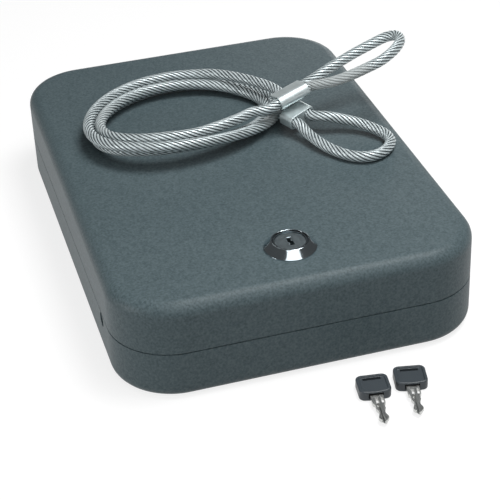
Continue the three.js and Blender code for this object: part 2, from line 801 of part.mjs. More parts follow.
function keyBlade() {
  const end = -BOW.length / 2;
  const shape = new THREE.Shape();
  shape.moveTo(BLADE.half_width, end + BLADE.tang);
  shape.lineTo(-BLADE.half_width, end + BLADE.tang);
  for (const [along, half] of BLADE_EDGE) shape.lineTo(-half, end - along);
  for (const [along, half] of [...BLADE_EDGE].reverse()) shape.lineTo(half, end - along);
  for (const side of [-1, 1]) {
    const hole = new THREE.Path();
    hole.absarc(side * BLADE_HOLE.across, end - BLADE_HOLE.along, BLADE_HOLE.radius, 0, 2 * Math.PI);
    shape.holes.push(hole);
  }
  const [low, high] = [(BOW.height - BLADE.thickness) / 2, (BOW.height + BLADE.thickness) / 2];
  const blade = toSolid(plate(shape, low, high, 6));
  const half = BLADE.groove / 2;
  const [start, stop] = [end - BLADE_EDGE.at(-1)[0] - 1, end - 5.2];
  return toGeometry(cut(blade, [
    box(-half, half, start, stop, high - BLADE.groove_depth, high + 1),
    box(-half, half, start, stop, low - 1, low + BLADE.groove_depth),
  ]));
}

// Assembly

add("base_shell", toGeometry(baseShell()), "case_paint");
add("lid_shell", toGeometry(lidShell()), "case_paint");
add("lip_band", toGeometry(lipBand()), "band_steel");
add("strike_bracket", toGeometry(strikeBracket()), "band_steel");
add("base_foam", toGeometry(baseFoam()), "foam");
add("lid_foam", toGeometry(lidFoam()), "foam");

add("lock_ring", onLock(lockRing()), "polished_steel");
add("lock_body", onLock(lockBody()), "polished_steel");
add("lock_plug", onLock(lockPlug()), "zinc_steel");
waferHeights().forEach((height, i) => add(`wafer_${i + 1}`, onLock(wafer(height)), "lock_brass"));
add("lock_washer", onLock(lockWasher()), "zinc_steel");
add("lock_nut", onLock(lockNut()), "zinc_steel");
add("lock_cam", onLock(lockCam()), "zinc_steel");
add("cam_washer", onLock(camWasher()), "zinc_steel");
add("cam_screw", onLock(camScrew()), "zinc_steel");

add("hinge_leaf_base", hingeLeaf(-1), "case_paint");
add("hinge_leaf_lid", hingeLeaf(1), "case_paint");
add("hinge_pin", acrossX(HINGE.pin, -HINGE.length / 2 - 0.5, HINGE.length / 2 + 0.5), "zinc_steel");
rivetPlaces().forEach((x, i) => {
  add(`rivet_base_${i + 1}`, rivet(x, SEAM - RIVET_OFF_SEAM), "zinc_steel");
  add(`rivet_lid_${i + 1}`, rivet(x, SEAM + RIVET_OFF_SEAM), "zinc_steel");
});

const coil = smooth(coilRoute(), 2);
const eyes = {
  a: smooth(eyeRoute(SLEEVE_A, EYE_A, ROPE_IN_SLEEVE), 3),
  b: smooth(eyeRoute(SLEEVE_B, EYE_B, ROPE_IN_SLEEVE - 2), 3),
};
add("cable_coil", ropeTube(coil, ROPE / 2), "rope");
add("cable_eye_a", ropeTube(eyes.a, ROPE / 2), "rope");
add("cable_eye_b", ropeTube(eyes.b, ROPE / 2), "rope");
add("sleeve_a", sleeveBody(SLEEVE_A), "sleeve_metal");
add("sleeve_b", sleeveBody(SLEEVE_B), "sleeve_metal");

for (const { name, x, before_front, turn } of KEYS) {
  const y = -CASE_LENGTH / 2 - before_front;
  add(`${name}_bow`, keyBow().rotateZ(radians(turn)).translate(x, y, 0), "bow_plastic");
  add(`${name}_blade`, keyBlade().rotateZ(radians(turn)).translate(x, y, 0), "key_steel");
}

const fine = smooth(coilRoute(), 8);
console.log("coil: least gap to itself", leastGap(fine).toFixed(2), "mm");
console.log("coil: length", pathLengths(fine).at(-1).toFixed(1), "mm");
for (const [name, points] of Object.entries(eyes)) {
  console.log(`eye ${name}: least gap to itself`, leastGap(points).toFixed(2), "mm, length",
    pathLengths(points).at(-1).toFixed(1), "mm");
}
for (const [name, sleeve] of [["a", SLEEVE_A], ["b", SLEEVE_B]]) {
  const near = [fine, eyes.a, eyes.b].map((points) => gapToSleeve(points, sleeve).toFixed(2));
  console.log(`sleeve ${name}: gap to coil, eye a, eye b`, near.join(", "), "mm");
}

export default safe;
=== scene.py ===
# %% [markdown]
# # A portable car safe
# The object is a flat steel lock box with rounded corners. A keyed lock sits in its lid, a coated
# wire rope with a crimped eye at each end lies on it, and two keys lie on the floor in front.
# The solids of the box come packed, and every piece made here goes exactly where its solid is.
# All sizes are in metres. X runs across the case, Y from the lock end to the hinge end, Z is up.

# %% Load the frame
import math

import bmesh
import bpy
from mathutils import Matrix, Quaternion, Vector


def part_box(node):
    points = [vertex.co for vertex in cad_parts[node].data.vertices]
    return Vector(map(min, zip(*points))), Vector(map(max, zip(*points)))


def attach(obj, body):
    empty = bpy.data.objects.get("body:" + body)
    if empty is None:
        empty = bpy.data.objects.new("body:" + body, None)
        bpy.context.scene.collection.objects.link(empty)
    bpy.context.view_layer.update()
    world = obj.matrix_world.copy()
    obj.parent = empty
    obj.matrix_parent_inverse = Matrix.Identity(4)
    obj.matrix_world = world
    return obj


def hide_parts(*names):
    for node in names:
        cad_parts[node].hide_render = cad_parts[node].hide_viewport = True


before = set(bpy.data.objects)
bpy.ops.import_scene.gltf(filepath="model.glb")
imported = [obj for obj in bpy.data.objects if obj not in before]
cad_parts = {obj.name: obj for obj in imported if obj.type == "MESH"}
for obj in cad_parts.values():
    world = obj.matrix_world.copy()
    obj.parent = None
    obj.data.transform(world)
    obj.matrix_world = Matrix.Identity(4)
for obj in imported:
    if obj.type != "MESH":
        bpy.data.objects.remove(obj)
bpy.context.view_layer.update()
MM = 0.001

# %% [markdown]
# The camera comes first, because everything is judged through it. It stands in front of the case, a
# little to the left, and looks down on it, as the photograph does. A few numbers say this plainly:
# the direction, the distance, the point that it looks at, its small roll and the length of its lens.

# %% Camera
VIEW_AZIMUTH = math.radians(-15.269)
VIEW_ELEVATION = math.radians(32.895)
VIEW_DISTANCE = 0.81666
VIEW_TARGET = Vector((0.00234, -0.01723, 0))
VIEW_ROLL = math.radians(-2.481)
LENS = 112.28
SENSOR = 36

towards_camera = Vector((
    math.sin(VIEW_AZIMUTH) * math.cos(VIEW_ELEVATION),
    -math.cos(VIEW_AZIMUTH) * math.cos(VIEW_ELEVATION),
    math.sin(VIEW_ELEVATION),
))
bpy.ops.object.camera_add(location=VIEW_TARGET + towards_camera * VIEW_DISTANCE)
camera = bpy.context.object
camera.name = "camera"
camera.rotation_mode = "QUATERNION"
straight = towards_camera.to_track_quat("Z", "Y")
camera.rotation_quaternion = straight @ Quaternion((0, 0, 1), VIEW_ROLL)
camera.data.sensor_width = SENSOR
camera.data.lens = LENS
bpy.context.scene.camera = camera
bpy.context.scene.view_settings.view_transform = "Standard"
print("camera at", [round(value, 3) for value in camera.location])

# %% [markdown]
# ## Helpers for modelling by hand
# Every operator acts on what is selected, so a piece starts from a clean selection, and edges or
# faces are picked in code by their place. A finished piece keeps its place in its mesh and its
# object at the origin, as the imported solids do, so that patterns stay put.

# %% Starting and settling a piece
def start_fresh():
    active = bpy.context.object
    if active and active.mode != "OBJECT":
        bpy.ops.object.mode_set(mode="OBJECT")
    bpy.ops.object.select_all(action="DESELECT")


def settle(piece, name):
    """Names the piece and moves its place and size into its mesh."""
    if piece.mode != "OBJECT":
        bpy.ops.object.mode_set(mode="OBJECT")
    bpy.ops.object.transform_apply(location=True, rotation=True, scale=True)
    piece.name = name
    piece.data.name = name
    return piece


# %% Picking by place
def pick(piece, kind, test):
    """Selects the vertices, edges or faces that pass the test, in edit mode."""
    if piece.mode != "EDIT":
        bpy.ops.object.mode_set(mode="EDIT")
    bpy.ops.mesh.select_mode(type=kind)
    bpy.ops.mesh.select_all(action="DESELECT")
    mesh = bmesh.from_edit_mesh(piece.data)
    items = {"VERT": mesh.verts, "EDGE": mesh.edges, "FACE": mesh.faces}[kind]
    chosen = 0
    for item in items:
        if test(item):
            item.select_set(True)
            chosen += 1
    mesh.select_flush_mode()
    bmesh.update_edit_mesh(piece.data)
    return chosen


def close(a, b, within=2e-5):
    return abs(a - b) < within


def is_upright(edge):
    a, b = (vert.co for vert in edge.verts)
    return close(a.x, b.x) and close(a.y, b.y)


def rim_at(height):
    """Gives the test for the edges at that height that border a wall."""
    def test(edge):
        return all(close(vert.co.z, height) for vert in edge.verts) and any(
            abs(face.normal.z) < 0.5 for face in edge.link_faces)

    return test


# %% Rounding and finishing
def round_edges(piece, test, radius, segments, clamp=False):
    """Bevels the edges that pass the test and tells how many there are."""
    count = pick(piece, "EDGE", test)
    bpy.ops.mesh.bevel(offset=radius, segments=segments, affect="EDGES", clamp_overlap=clamp)
    return count


def finish_edges(piece, width, segments=2, angle=35):
    """Rounds the sharp edges a little, smooths the rest and keeps flat faces flat."""
    if piece.mode != "OBJECT":
        bpy.ops.object.mode_set(mode="OBJECT")
    if width:
        bevel = piece.modifiers.new("edge", "BEVEL")
        bevel.width = width
        bevel.segments = segments
        bevel.limit_method = "ANGLE"
        bevel.angle_limit = math.radians(angle)
        bpy.ops.object.modifier_apply(modifier=bevel.name)
    bpy.ops.object.shade_smooth_by_angle(angle=math.radians(angle))
    weighted = piece.modifiers.new("even", "WEIGHTED_NORMAL")
    weighted.keep_sharp = True
    bpy.ops.object.modifier_apply(modifier=weighted.name)


# %% Blocks, copies and cuts
def block(name, size, centre):
    """A box, which is the start of a piece or a cutter."""
    start_fresh()
    bpy.ops.mesh.primitive_cube_add(size=1, location=centre, scale=size)
    return settle(bpy.context.object, name)


def duplicate(piece):
    """A copy with its own mesh, selected and active."""
    start_fresh()
    copy = piece.copy()
    copy.data = piece.data.copy()
    bpy.context.scene.collection.objects.link(copy)
    copy.select_set(True)
    bpy.context.view_layer.objects.active = copy
    return copy


def cut_with(piece, cutter):
    """Takes the cutter's shape out of the piece and removes the cutter."""
    start_fresh()
    piece.select_set(True)
    bpy.context.view_layer.objects.active = piece
    boolean = piece.modifiers.new("cut", "BOOLEAN")
    boolean.operation = "DIFFERENCE"
    boolean.solver = "EXACT"
    boolean.object = cutter
    bpy.ops.object.modifier_apply(modifier=boolean.name)
    bpy.data.objects.remove(cutter)


def place(piece, body, replaced):
    """Gives the finished piece its body and the solids that it stands for."""
    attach(piece, body)
    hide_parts(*replaced)
    piece.select_set(False)
    print(piece.name, "has", len(piece.data.polygons), "faces")


# %% [markdown]
# ## Shared surface effects
# Powder paint, cast plastic and foam all have a fine grain, and most metals show faint brushing.
# Both effects are node groups with named inputs, built once and placed in each material.

# %% Group of fine grain
def new_group(name, inputs, outputs):
    group = bpy.data.node_groups.new(name, "ShaderNodeTree")
    for label, kind, value in inputs:
        socket = group.interface.new_socket(label, in_out="INPUT", socket_type=kind)
        if value is not None:
            socket.default_value = value
    for label, kind in outputs:
        group.interface.new_socket(label, in_out="OUTPUT", socket_type=kind)
    entry = group.nodes.new("NodeGroupInput")
    leave = group.nodes.new("NodeGroupOutput")
    return group, entry, leave


grain, entry, leave = new_group(
    "fine_grain",
    [("Vector", "NodeSocketVector", None), ("Scale", "NodeSocketFloat", 900.0)],
    [("Height", "NodeSocketFloat"), ("Cloud", "NodeSocketFloat")],
)
specks = grain.nodes.new("ShaderNodeTexNoise")
specks.inputs["Detail"].default_value = 3
specks.inputs["Roughness"].default_value = 0.55
cloud = grain.nodes.new("ShaderNodeTexNoise")
cloud.inputs["Scale"].default_value = 14
cloud.inputs["Detail"].default_value = 2
grain.links.new(entry.outputs["Vector"], specks.inputs["Vector"])
grain.links.new(entry.outputs["Scale"], specks.inputs["Scale"])
grain.links.new(entry.outputs["Vector"], cloud.inputs["Vector"])
grain.links.new(specks.outputs["Fac"], leave.inputs["Height"])
grain.links.new(cloud.outputs["Fac"], leave.inputs["Cloud"])

# %% Group of brushing
brushing, entry, leave = new_group(
    "brushing",
    [
        ("Vector", "NodeSocketVector", None),
        ("Stretch", "NodeSocketVector", (1, 1, 40)),
        ("Scale", "NodeSocketFloat", 150.0),
    ],
    [("Height", "NodeSocketFloat")],
)
stretch = brushing.nodes.new("ShaderNodeVectorMath")
stretch.operation = "MULTIPLY"
lines = brushing.nodes.new("ShaderNodeTexNoise")
lines.inputs["Detail"].default_value = 4
brushing.links.new(entry.outputs["Vector"], stretch.inputs[0])
brushing.links.new(entry.outputs["Stretch"], stretch.inputs[1])
brushing.links.new(stretch.outputs["Vector"], lines.inputs["Vector"])
brushing.links.new(entry.outputs["Scale"], lines.inputs["Scale"])
brushing.links.new(lines.outputs["Fac"], leave.inputs["Height"])


# %% Colours and materials
def linear(red, green, blue):
    """A screen colour of 0 to 255 as the linear colour that a shader wants."""
    def one(value):
        value /= 255
        return value / 12.92 if value <= 0.04045 else ((value + 0.055) / 1.055) ** 2.4

    return (one(red), one(green), one(blue), 1)


def new_material(name, colour, roughness, metallic):
    material = bpy.data.materials.new(name)
    material.use_nodes = True
    material.diffuse_color = colour
    tree = material.node_tree
    shader = tree.nodes["Principled BSDF"]
    shader.inputs["Base Color"].default_value = colour
    shader.inputs["Roughness"].default_value = roughness
    shader.inputs["Metallic"].default_value = metallic
    return material, tree, shader


# %% Nodes in a material
def add_group(tree, group, **values):
    node = tree.nodes.new("ShaderNodeGroup")
    node.node_tree = group
    for label, value in values.items():
        node.inputs[label].default_value = value
    where = tree.nodes.new("ShaderNodeTexCoord")
    tree.links.new(where.outputs["Object"], node.inputs["Vector"])
    return node


def math_node(tree, operation, first, second=None, third=None):
    """A calculation with numbers or sockets, None for an input that the operation doesn't use."""
    node = tree.nodes.new("ShaderNodeMath")
    node.operation = operation
    for socket, value in zip(node.inputs, (first, second, third)):
        if value is None:
            continue
        if isinstance(value, (int, float)):
            socket.default_value = value
        else:
            tree.links.new(value, socket)
    return node.outputs[0]


def add_bump(tree, shader, height, strength, distance):
    bump = tree.nodes.new("ShaderNodeBump")
    bump.inputs["Strength"].default_value = strength
    bump.inputs["Distance"].default_value = distance
    tree.links.new(height, bump.inputs["Height"])
    tree.links.new(bump.outputs["Normal"], shader.inputs["Normal"])


def vary(tree, factor, low, high, target, from_low=0.3, from_high=0.7):
    """Feeds the target a colour or number that moves between low and high with the factor."""
    span = tree.nodes.new("ShaderNodeMapRange")
    span.inputs["From Min"].default_value = from_low
    span.inputs["From Max"].default_value = from_high
    tree.links.new(factor, span.inputs["Value"])
    if isinstance(low, tuple):
        mix = tree.nodes.new("ShaderNodeMix")
        mix.data_type = "RGBA"
        mix.inputs["A"].default_value = low
        mix.inputs["B"].default_value = high
        tree.links.new(span.outputs["Result"], mix.inputs["Factor"])
        tree.links.new(mix.outputs["Result"], target)
    else:
        span.inputs["To Min"].default_value = low
        span.inputs["To Max"].default_value = high
        tree.links.new(span.outputs["Result"], target)


# %% [markdown]
# The case is powder-coated: a dark blue-grey with a soft gloss and a grain of about a millimetre.
# The grain goes into the bump and moves the colour a little too, because a sprayed coat is never
# quite even.

# %% Case paint
def make_case_paint():
    material, tree, shader = new_material("case_paint", linear(80, 94, 98), 0.46, 0)
    shader.inputs["Specular IOR Level"].default_value = 0.2
    node = add_group(tree, grain, Scale=950.0)
    darker, lighter = linear(66, 80, 84), linear(93, 107, 111)
    vary(tree, node.outputs["Height"], darker, lighter, shader.inputs["Base Color"])
    add_bump(tree, shader, node.outputs["Height"], 0.4, 0.15 * MM)
    return material


case_paint = make_case_paint()


# %% [markdown]
# The metal pieces differ in gloss: the lock's ring is polished, the keys are nickel-plated, the
# hinge's pin and the lock's inner pieces are satin zinc, and the crimped sleeves are dull aluminium.
# The stretch of a brushing tells which way its lines run.

# %% Metals
EVEN, LEVEL_LINES, LINES_ALONG_Y = (1, 1, 1), (1, 1, 30), (30, 1, 1)
SCRATCH_DEPTH = 0.05 * MM


def make_metal(name, colour, roughness, stretch_by, scale, strength, metallic=1):
    material, tree, shader = new_material(name, colour, roughness, metallic)
    node = add_group(tree, brushing, Stretch=stretch_by, Scale=scale)
    vary(tree, node.outputs["Height"], roughness * 0.8, roughness * 1.25, shader.inputs["Roughness"])
    add_bump(tree, shader, node.outputs["Height"], strength, SCRATCH_DEPTH)
    return material


polished_steel = make_metal("polished_steel", linear(196, 208, 214), 0.13, EVEN, 700.0, 0.08)
lock_face_steel = make_metal("lock_face_steel", linear(152, 165, 170), 0.36, EVEN, 900.0, 0.6)
zinc_steel = make_metal("zinc_steel", linear(176, 180, 184), 0.38, EVEN, 500.0, 0.25)
band_steel = make_metal("band_steel", linear(110, 118, 122), 0.5, LEVEL_LINES, 80.0, 0.15)
lock_brass = make_metal("lock_brass", linear(196, 168, 104), 0.35, EVEN, 500.0, 0.2)
sleeve_metal = make_metal("sleeve_metal", linear(208, 219, 220), 0.38, EVEN, 300.0, 0.05, 0.6)
key_steel = make_metal("key_steel", linear(196, 197, 195), 0.34, LINES_ALONG_Y, 60.0, 0.15)


# %% Plastic and foam
def make_grained(name, colour, roughness, scale, strength, depth):
    material, tree, shader = new_material(name, colour, roughness, 0)
    node = add_group(tree, grain, Scale=scale)
    lighter = tuple(min(1, value * 1.15) for value in colour[:3]) + (1,)
    vary(tree, node.outputs["Cloud"], colour, lighter, shader.inputs["Base Color"])
    add_bump(tree, shader, node.outputs["Height"], strength, depth)
    return material


bow_plastic = make_grained("bow_plastic", linear(56, 63, 68), 0.42, 1800.0, 0.3, 0.08 * MM)
liner_foam = make_grained("liner_foam", linear(48, 50, 53), 0.95, 1100.0, 0.9, 0.4 * MM)


# %% [markdown]
# ## Floor and light
# The object stands on white paper in soft studio light. The camera and the polished metal see the
# floor plain white, with the object's shadow on it. For all other rays it is a darker, faintly
# glowing paper, so that it doesn't flood the walls. A soft square hangs overhead and gives the soft
# shadows under the cable. One in front shows as the bright band in the lock's ring, and one on the
# left, with the light from the floor, fills the walls. A weak one behind is there for the views from
# the hinge end. The world is white to the camera and nearly dark to the rest.

# %% Floor
FLOOR_SIZE = 6
FLOOR_DROP = 0.2 * MM
PAPER_SHADE, PAPER_GLOW = 0.3, 0.06
SHOWN_SHADE, SHOWN_GLOW = 0.25, 0.8


def make_floor():
    start_fresh()
    bpy.ops.mesh.primitive_plane_add(size=FLOOR_SIZE, location=(0, 0, -FLOOR_DROP))
    floor = settle(bpy.context.object, "floor")
    material = bpy.data.materials.new("white_paper")
    material.use_nodes = True
    tree = material.node_tree
    shader = tree.nodes["Principled BSDF"]
    shader.inputs["Base Color"].default_value = (PAPER_SHADE,) * 3 + (1,)
    shader.inputs["Roughness"].default_value = 0.9
    shader.inputs["Specular IOR Level"].default_value = 0
    shader.inputs["Emission Color"].default_value = (1, 1, 1, 1)
    shader.inputs["Emission Strength"].default_value = PAPER_GLOW
    glow = tree.nodes.new("ShaderNodeEmission")
    glow.inputs["Strength"].default_value = SHOWN_GLOW
    matt = tree.nodes.new("ShaderNodeBsdfDiffuse")
    matt.inputs["Color"].default_value = (SHOWN_SHADE,) * 3 + (1,)
    bright = tree.nodes.new("ShaderNodeAddShader")
    rays = tree.nodes.new("ShaderNodeLightPath")
    seen = math_node(tree, "ADD", rays.outputs["Is Glossy Ray"], rays.outputs["Is Camera Ray"])
    swap = tree.nodes.new("ShaderNodeMixShader")
    tree.links.new(glow.outputs[0], bright.inputs[0])
    tree.links.new(matt.outputs[0], bright.inputs[1])
    tree.links.new(seen, swap.inputs["Fac"])
    tree.links.new(shader.outputs[0], swap.inputs[1])
    tree.links.new(bright.outputs[0], swap.inputs[2])
    tree.links.new(swap.outputs[0], tree.nodes["Material Output"].inputs["Surface"])
    floor.data.materials.append(material)
    print("floor of", FLOOR_SIZE, "m")


make_floor()


# %% Lights
WORLD_LEVEL = 0.02
WORLD_IN_METAL = 0.06
LIGHTS = [  # name, place in metres, size in metres, power in watts
    ("key_light", (0.27, -0.1, 0.95), 0.45, 8.1),
    ("front_light", (0.02, -0.46, 0.5), 0.5, 1.5),
    ("left_light", (-0.8, -0.2, 0.16), 0.3, 2.2),
    ("back_light", (0.45, 0.9, 0.15), 0.4, 1.2),
]


def make_world():
    world = bpy.data.worlds.new("studio")
    bpy.context.scene.world = world
    world.use_nodes = True
    tree = world.node_tree
    background = tree.nodes["Background"]
    background.inputs["Color"].default_value = (1, 1, 1, 1)
    rays = tree.nodes.new("ShaderNodeLightPath")
    seen = math_node(tree, "MAXIMUM", rays.outputs["Is Camera Ray"], rays.outputs["Is Transmission Ray"])
    mirrored = math_node(tree, "MULTIPLY_ADD", rays.outputs["Is Glossy Ray"], WORLD_IN_METAL, seen)
    level = tree.nodes.new("ShaderNodeMapRange")
    level.inputs["To Min"].default_value = WORLD_LEVEL
    level.inputs["To Max"].default_value = 1
    tree.links.new(mirrored, level.inputs["Value"])
    tree.links.new(level.outputs["Result"], background.inputs["Strength"])


def add_light(name, place_at, size, power):
    bpy.ops.object.light_add(type="AREA", location=place_at)
    lamp = bpy.context.object
    lamp.name = name
    lamp.data.size = size
    lamp.data.energy = power
    lamp.rotation_mode = "QUATERNION"
    lamp.rotation_quaternion = Vector(place_at).to_track_quat("Z", "Y")


make_world()
for name, place_at, size, power in LIGHTS:
    add_light(name, place_at, size, power)
print(len(LIGHTS), "lights")

# %% [markdown]
# ## The two halves of the case
# Each half is drawn from one sheet of steel with rounded corners and a rolled edge. It starts as a
# box, the four upright edges are rounded first, then the outline of the closed end. The open end is
# taken off, and a wall is added inwards, as thick as the sheet. The holes are cut last.

# %% Making a half
case_low, case_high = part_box("base_shell")[0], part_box("lid_shell")[1]
SHEET = 1.5 * MM
CORNER_RADIUS = 31 * MM
BASE_ROLL = 6 * MM
LID_ROLL = 7 * MM


def level_face_at(height):
    """Gives the test for the level faces at that height."""
    return lambda face: abs(face.normal.z) > 0.99 and close(face.calc_center_median().z, height)


def case_half(name, node, closed_at, roll):
    low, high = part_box(node)
    half = block(name, high - low, (low + high) / 2)
    open_at = low.z if close(closed_at, high.z) else high.z
    round_edges(half, is_upright, CORNER_RADIUS, 24)
    round_edges(half, rim_at(closed_at), roll, 8)
    pick(half, "FACE", level_face_at(open_at))
    bpy.ops.mesh.delete(type="ONLY_FACE")
    bpy.ops.object.mode_set(mode="OBJECT")
    wall = half.modifiers.new("wall", "SOLIDIFY")
    wall.thickness = SHEET
    wall.offset = -1
    wall.use_even_offset = True
    bpy.ops.object.modifier_apply(modifier=wall.name)
    return half


def hole_cutter(radius, centre, axis, depth):
    start_fresh()
    turn = Vector(axis).to_track_quat("Z", "Y").to_euler()
    bpy.ops.mesh.primitive_cylinder_add(
        vertices=48, radius=radius, depth=depth, location=centre, rotation=turn)
    return settle(bpy.context.object, "cutter")


# %% Lid and base
LOCK_AXIS = (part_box("lock_ring")[0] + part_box("lock_ring")[1]) / 2
CABLE_HOLE_AT = Vector((case_low.x, -82 * MM, 20.7 * MM))
CABLE_HOLE_RADIUS = 3.4 * MM
LOCK_HOLE_RADIUS = 8 * MM
RIM_ROUNDING = 0.35 * MM

lid = case_half("lid_cover", "lid_shell", case_high.z, LID_ROLL)
lock_hole_at = (LOCK_AXIS.x, LOCK_AXIS.y, case_high.z)
cut_with(lid, hole_cutter(LOCK_HOLE_RADIUS, lock_hole_at, (0, 0, 1), 20 * MM))
finish_edges(lid, RIM_ROUNDING)
lid.data.materials.append(case_paint)
place(lid, "lid", ["lid_shell"])

base = case_half("base_case", "base_shell", case_low.z, BASE_ROLL)
cut_with(base, hole_cutter(CABLE_HOLE_RADIUS, CABLE_HOLE_AT, (1, 0, 0), 12 * MM))
finish_edges(base, RIM_ROUNDING)
base.data.materials.append(case_paint)
place(base, "base", ["base_shell"])


# %% [markdown]
# ## Turned pieces
# The ring round the lock is a turned cone. A turned piece starts as a circle, which is extruded and
# resized from one height of its profile to the next. The profile comes back to its start, where the
# two ends are merged and the wall is closed.

# %% Turning
def turned(name, profile, centre, sides=96):
    start_fresh()
    radius, height = profile[0]
    bpy.ops.mesh.primitive_circle_add(
        vertices=sides, radius=radius, location=(centre.x, centre.y, height), enter_editmode=True)
    piece = bpy.context.object
    for (r0, z0), (r1, z1) in zip(profile, profile[1:] + profile[:1]):
        bpy.ops.mesh.extrude_edges_move(TRANSFORM_OT_translate={"value": (0, 0, z1 - z0)})
        bpy.ops.transform.resize(value=(r1 / r0, r1 / r0, 1), center_override=(centre.x, centre.y, z1))
    bpy.ops.mesh.select_all(action="SELECT")
    bpy.ops.mesh.remove_doubles(threshold=1e-6)
    bpy.ops.mesh.normals_make_consistent(inside=False)
    return settle(piece, name)


# %% Lock ring
RING_BORE, RING_RIM, RING_WALL = LOCK_HOLE_RADIUS, 9.1 * MM, 0.5 * MM
RING_SEAT = 1.4 * MM


def make_lock_ring():
    """A low foot, the cone, a rounded rim, and inside it a seat round the lock's body."""
    low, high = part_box("lock_ring")
    outer = (high.x - low.x) / 2
    rim, wall, bore = RING_RIM, RING_WALL, RING_BORE
    seat = low.z + RING_SEAT
    profile = [
        (bore, low.z),
        (outer, low.z),
        (outer, low.z + 0.5 * MM),
        (outer - 0.9 * MM, low.z + 1.25 * MM),
        (rim + 0.75 * MM, high.z - 0.75 * MM),
        (rim + 0.1 * MM, high.z - 0.1 * MM),
        (rim - 0.15 * MM, high.z),
        (rim - wall, high.z - 0.1 * MM),
        (rim - wall, seat),
        (bore, seat),
    ]
    ring = turned("lock_dress_ring", profile, LOCK_AXIS)
    finish_edges(ring, 0.08 * MM, 2, 50)
    ring.data.materials.append(polished_steel)
    place(ring, "lid", ["lock_ring"])


make_lock_ring()

# %% [markdown]
# The plug keeps the shape of its solid, so a copy of that is the start: its loose triangles are
# merged, its flat faces joined, and the rim of the keyway gets a small chamfer, which catches the
# light as the pressed rim of a real keyway does.

# %% Plug with a chamfered keyway
KEYWAY_REACH = 4.6 * MM
KEYWAY_CHAMFER = 0.4 * MM


def make_plug():
    plug = duplicate(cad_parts["lock_plug"])
    bpy.ops.object.mode_set(mode="EDIT")
    bpy.ops.mesh.select_all(action="SELECT")
    bpy.ops.mesh.remove_doubles(threshold=1e-6)
    bpy.ops.mesh.dissolve_limited(angle_limit=math.radians(1))
    on_rim = rim_at(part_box("lock_plug")[1].z)

    def keyway_rim(edge):
        near = all((vert.co.xy - LOCK_AXIS.xy).length < KEYWAY_REACH for vert in edge.verts)
        return near and on_rim(edge)

    print("keyway rim:", round_edges(plug, keyway_rim, KEYWAY_CHAMFER, 2, clamp=True), "edges")
    settle(plug, "chamfered_plug")
    finish_edges(plug, 0, angle=25)
    plug.data.materials.clear()
    plug.data.materials.append(lock_face_steel)
    place(plug, "plug", ["lock_plug"])


make_plug()


# %% [markdown]
# ## The cable
# The cable is a wire rope under a clear skin, and one length of it makes the coil and both eyes. Its
# route repeats the points of the solids, which are listed in millimetres: from the cut end in the
# first sleeve round its eye and back through the sleeve, round the coil, and the same again at the
# far end. The coil is an egg-shaped loop; the sizes, skew and tilt of its outline are the terms of
# LOOP, and one side of it rises a little from the lid.

# %% Points of the route
ROPE = 5.6 * MM
ON_LID = case_high.z + 0.3 * MM + ROPE / 2
TAIL_OUT = 1.5 * MM
MOUTH, STRAIGHT_OUT = 0.3 * MM, 2.5 * MM
COIL_IN_A, COIL_IN_B = (6, -0.3, -6.5), (-6.5, -0.3, 4)
COIL_DEGREES = range(105, 991, 15)
LOOP = {
    "x": -10, "y": 36, "half_x": 48.5, "half_y": 36, "egg_x": -6.5, "egg_y": -7.5, "skew": -2, "tilt": 5,
}
BUNDLE_GAP = 0.65 * MM
LOOP_RISE = 6 * MM
LOOP_RISE_AT = math.radians(-120)
SLEEVE_A = {
    "from": (27.6, 12.3, 67.6), "to": (44.1, 16, 71.7), "width": (-0.13, 0.954, -0.27),
    "spacing": 6.9, "thickness": 7.4,
}
SLEEVE_B = {
    "from": (36, 13.1, 60.2), "to": (39.8, 5.6, 59.6), "width": (-0.89, -0.43, -0.14),
    "spacing": 9.4, "thickness": 7.4,
}
LEAD_A = [(13.5, 8, 66.6), (5, 4.6, 66.2)]
LEAD_B = [(8.5, 68.6, 61.2), (18, 58.8, 62.4), (27.5, 47, 63), (34.5, 35, 63)]
EYE_A = [
    (57.3, 7.1, 76.9), (66, 5.3, 79.7), (74.7, 5.1, 82.4), (82.6, 5.7, 84.7), (89.7, 9, 86.5),
    (95.3, 13.5, 87.8), (98.8, 18.9, 88.3), (99.3, 26, 87.7), (94.9, 29.4, 86), (86.3, 29, 83.4),
    (77.4, 27.7, 80.9), (68.8, 25.6, 78.5), (60.7, 23.3, 76.3), (53.8, 20.9, 74.4),
]
EYE_B = [
    (52.7, 1.3, 60.2), (58.5, -0.2, 58.6), (63.4, -2, 57.4), (67.9, -4.7, 56.4), (72, -8.7, 55.5),
    (75.7, -13.5, 54.8), (77.8, -18.1, 54.3), (77.6, -23.8, 54.1), (74.9, -28.6, 54.1),
    (70.7, -32.6, 54.1), (65.4, -35, 54.1), (60.1, -35, 54.1), (55.3, -32.8, 54.1), (51.1, -28.8, 54.1),
    (47.4, -23.9, 54.3), (44.2, -18.5, 54.8), (41.6, -12.7, 55.5), (39, -4.4, 56.4),
]


# %% The coil
def metres(points):
    return [Vector(point) * MM for point in points]


def loop_centre(angle):
    x = LOOP["x"] + LOOP["half_x"] * math.cos(angle) + LOOP["egg_x"] * math.cos(2 * angle) \
        + LOOP["skew"] * math.sin(2 * angle)
    y = LOOP["y"] + LOOP["half_y"] * math.sin(angle) + LOOP["egg_y"] * math.sin(2 * angle) \
        + LOOP["tilt"] * math.cos(angle)
    return Vector((x, y, 0)) * MM


